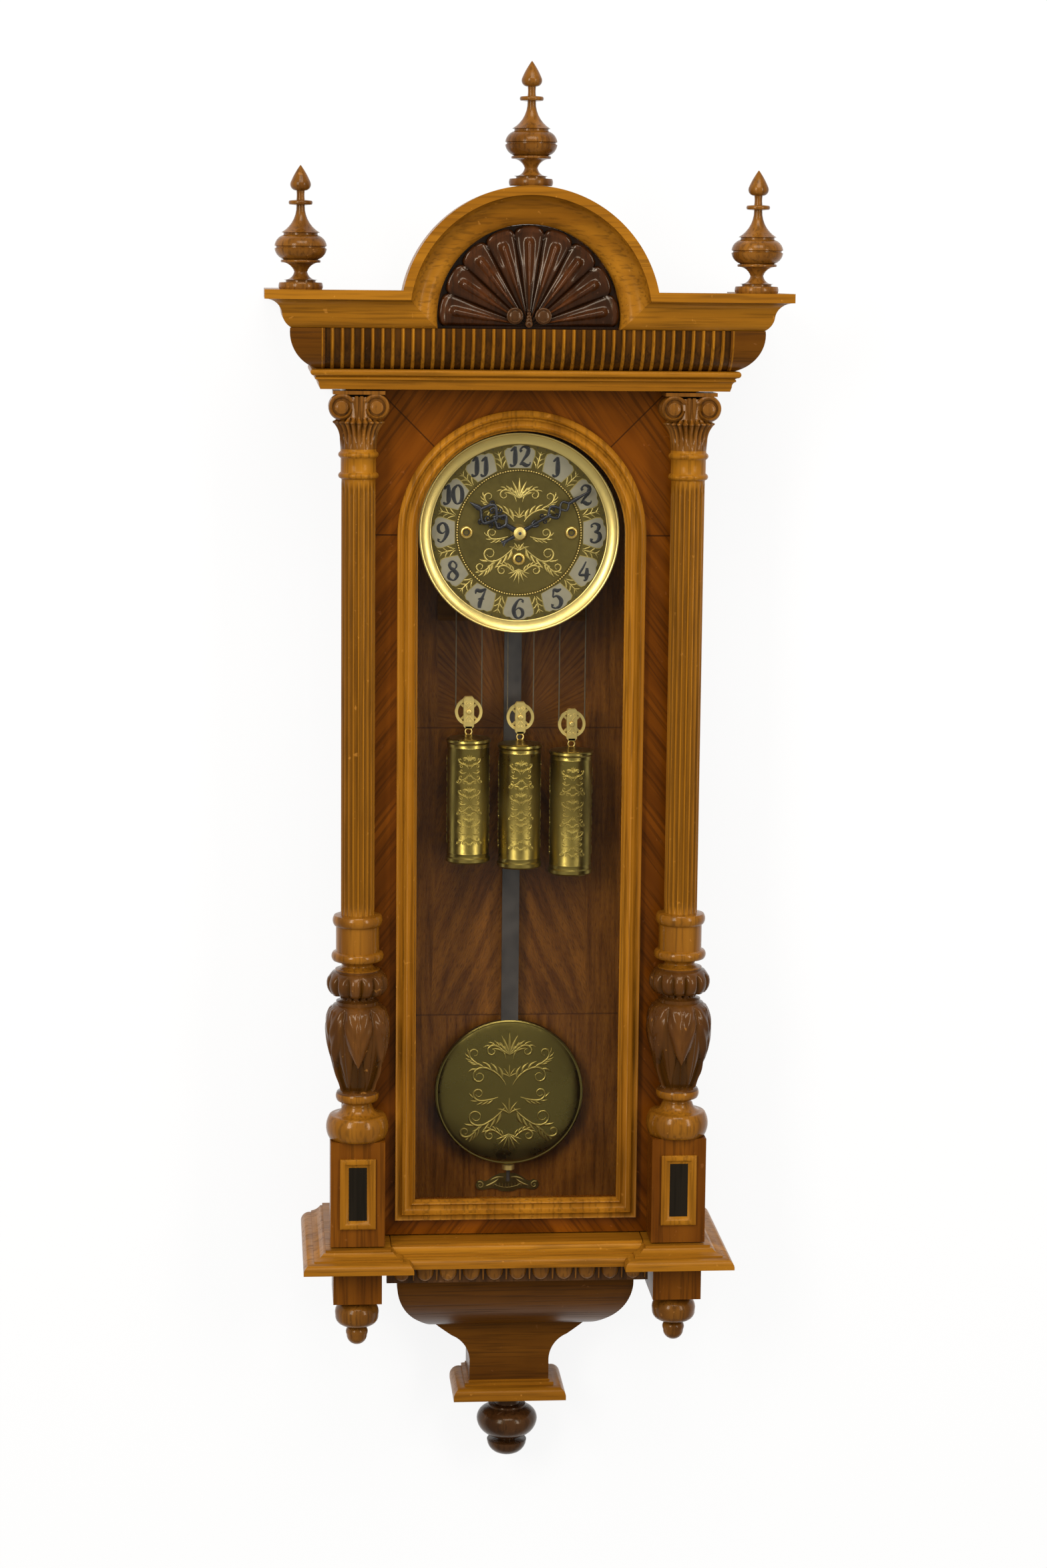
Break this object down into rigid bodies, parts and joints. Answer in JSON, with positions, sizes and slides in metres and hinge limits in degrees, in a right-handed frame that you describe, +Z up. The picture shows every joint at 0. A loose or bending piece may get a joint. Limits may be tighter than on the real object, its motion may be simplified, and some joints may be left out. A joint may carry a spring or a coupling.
{
  "type": "wall regulator clock",
  "caption": "Wall-hung regulator clock in a glazed, columned wooden case with an arched crown, weights on pulleys, a pendulum and a turning hand train.",
  "frame": {"origin": "centre of the hanger plate hole at the back of the case, on the wall plane", "axes": "+Z up, +Y into the wall, so the clock faces -Y; +X to the viewer's right"},
  "size_m": [0.5, 0.2145, 1.4165],
  "materials": {
    "walnut": "satin french polish, golden brown",
    "dark_walnut": "glossy dark stained carving",
    "veneer": "polished figured veneer, red brown",
    "interior": "dark aged interior",
    "brass": "polished",
    "silvered": "silvered and lacquered brass, engraved",
    "steel": "bright steel",
    "blued": "blued and blackened steel",
    "iron": "black japanned iron",
    "glass": "clear old glass",
    "ebonised": "ebonised pendulum wood",
    "gut": "gut line"
  },
  "bodies": {
    "case": {"apron": "veneer", "apron_foot": "walnut", "architrave": "walnut", "backboard": "interior", "base_moulding": "walnut", "beat_plate": "silvered", "bottom_board": "walnut", "bottom_drop": "dark_walnut", "case_hinges": "brass", "case_sides": "walnut", "chapter_ring": "silvered", "cornice": "walnut", "dial_centre": "silvered", "dial_pan": "brass", "egg_rail": "walnut", "finials": "dark_walnut", "frieze": "veneer", "gong": "steel", "hanger_plate": "steel", "line_centre": "gut", "line_left": "gut", "line_right": "gut", "movement_bracket": "iron", "movement_plates": "brass", "pendant_blocks": "veneer", "pendant_drops": "dark_walnut", "shell_carving": "dark_walnut", "side_glass": "glass", "suspension_cock": "brass", "top_boards": "walnut"},
    "door": {"door_frame": "veneer", "door_moulding": "walnut", "door_glass": "glass", "capitals": "walnut", "column_shafts": "walnut", "balusters": "walnut", "plinths": "veneer", "door_hinges": "brass"},
    "pendulum": {"suspension_spring": "steel", "pendulum_rod": "ebonised"},
    "bob": {"bob": "brass"},
    "rating_nut": {"rating_nut": "brass"},
    "crutch": {"crutch": "steel"},
    "minute_hand": {"minute_hand": "blued", "centre_wheel": "brass"},
    "hour_hand": {"hour_hand": "blued"},
    "minute_wheel": {"minute_wheel": "brass"},
    "great_wheel": {"great_wheel": "brass"},
    "third_wheel": {"third_wheel": "brass"},
    "escape_wheel": {"escape_wheel": "brass"},
    "hammer": {"hammer": "brass"},
    "weight_left": {"weight_left": "brass"},
    "pulley_left": {"pulley_left": "brass"},
    "barrel_left": {"barrel_left": "brass"},
    "weight_centre": {"weight_centre": "brass"},
    "pulley_centre": {"pulley_centre": "brass"},
    "barrel_centre": {"barrel_centre": "brass"},
    "weight_right": {"weight_right": "brass"},
    "pulley_right": {"pulley_right": "brass"},
    "barrel_right": {"barrel_right": "brass"}
  },
  "joints": [
    {"name": "door_hinge", "type": "hinge", "parent": "case", "child": "door", "pos_m": [0.1748, -0.1015, -0.5], "axis": [0, 0, 1], "range_deg": [0, 110]},
    {"name": "pendulum_swing", "type": "hinge", "parent": "case", "child": "pendulum", "pos_m": [0, -0.024, -0.144], "axis": [0, 1, 0], "range_deg": [-2.2, 2.2]},
    {"name": "bob_slide", "type": "slide", "parent": "pendulum", "child": "bob", "axis": [0, 0, 1], "range_m": [-0.006, 0.006]},
    {"name": "nut_turn", "type": "hinge", "parent": "bob", "child": "rating_nut", "pos_m": [0, -0.024, -0.865], "axis": [0, 0, 1], "continuous": true},
    {"name": "crutch_rock", "type": "hinge", "parent": "case", "child": "crutch", "pos_m": [0, -0.05, -0.144], "axis": [0, 1, 0], "range_deg": [-2.2, 2.2]},
    {"name": "minute_hand_turn", "type": "hinge", "parent": "case", "child": "minute_hand", "pos_m": [0, -0.05, -0.2], "axis": [0, 1, 0], "continuous": true},
    {"name": "hour_hand_turn", "type": "hinge", "parent": "case", "child": "hour_hand", "pos_m": [0, -0.05, -0.2], "axis": [0, 1, 0], "continuous": true},
    {"name": "minute_wheel_turn", "type": "hinge", "parent": "case", "child": "minute_wheel", "pos_m": [0.012, -0.05, -0.2], "axis": [0, 1, 0], "continuous": true},
    {"name": "great_wheel_turn", "type": "hinge", "parent": "case", "child": "great_wheel", "pos_m": [0, -0.05, -0.226], "axis": [0, 1, 0], "continuous": true},
    {"name": "third_wheel_turn", "type": "hinge", "parent": "case", "child": "third_wheel", "pos_m": [0, -0.05, -0.178], "axis": [0, 1, 0], "continuous": true},
    {"name": "escape_wheel_turn", "type": "hinge", "parent": "case", "child": "escape_wheel", "pos_m": [0, -0.05, -0.1627], "axis": [0, 1, 0], "continuous": true},
    {"name": "hammer_lift", "type": "hinge", "parent": "case", "child": "hammer", "pos_m": [0.02, -0.026, -0.2157], "axis": [0, 1, 0], "range_deg": [0, 14], "stiffness_Nm_per_rad": 0.01},
    {"name": "weight_left_drop", "type": "slide", "parent": "case", "child": "weight_left", "axis": [0, 0, 1], "range_m": [-0.34, 0.1], "deforming": ["line_left"]},
    {"name": "pulley_left_turn", "type": "hinge", "parent": "weight_left", "child": "pulley_left", "pos_m": [-0.04635, -0.055, -0.3825], "axis": [0, 1, 0], "continuous": true},
    {"name": "barrel_left_turn", "type": "hinge", "parent": "case", "child": "barrel_left", "pos_m": [-0.052, -0.055, -0.2], "axis": [0, 1, 0], "continuous": true},
    {"name": "weight_centre_drop", "type": "slide", "parent": "case", "child": "weight_centre", "axis": [0, 0, 1], "range_m": [-0.34, 0.1], "deforming": ["line_centre"]},
    {"name": "pulley_centre_turn", "type": "hinge", "parent": "weight_centre", "child": "pulley_centre", "pos_m": [0.00565, -0.055, -0.388], "axis": [0, 1, 0], "continuous": true},
    {"name": "barrel_centre_turn", "type": "hinge", "parent": "case", "child": "barrel_centre", "pos_m": [0, -0.055, -0.226], "axis": [0, 1, 0], "continuous": true},
    {"name": "weight_right_drop", "type": "slide", "parent": "case", "child": "weight_right", "axis": [0, 0, 1], "range_m": [-0.34, 0.1], "deforming": ["line_right"]},
    {"name": "pulley_right_turn", "type": "hinge", "parent": "weight_right", "child": "pulley_right", "pos_m": [0.05765, -0.055, -0.395], "axis": [0, 1, 0], "continuous": true},
    {"name": "barrel_right_turn", "type": "hinge", "parent": "case", "child": "barrel_right", "pos_m": [0.052, -0.055, -0.2], "axis": [0, 1, 0], "continuous": true}
  ],
  "couplings": [
    {"joint": "nut_turn", "follows": "bob_slide", "rad_per_m": 6283.2},
    {"joint": "crutch_rock", "follows": "pendulum_swing", "ratio": 1},
    {"joint": "hour_hand_turn", "follows": "minute_hand_turn", "ratio": 0.083333},
    {"joint": "minute_wheel_turn", "follows": "minute_hand_turn", "ratio": -0.33333},
    {"joint": "great_wheel_turn", "follows": "minute_hand_turn", "ratio": -0.16667},
    {"joint": "third_wheel_turn", "follows": "minute_hand_turn", "ratio": -10},
    {"joint": "escape_wheel_turn", "follows": "minute_hand_turn", "ratio": 75},
    {"joint": "pulley_left_turn", "follows": "weight_left_drop", "rad_per_m": -76.923},
    {"joint": "barrel_left_turn", "follows": "weight_left_drop", "rad_per_m": -107.24},
    {"joint": "pulley_centre_turn", "follows": "weight_centre_drop", "rad_per_m": -76.923},
    {"joint": "barrel_centre_turn", "follows": "weight_centre_drop", "rad_per_m": -107.24},
    {"joint": "pulley_right_turn", "follows": "weight_right_drop", "rad_per_m": -76.923},
    {"joint": "barrel_right_turn", "follows": "weight_right_drop", "rad_per_m": -107.24}
  ]
}
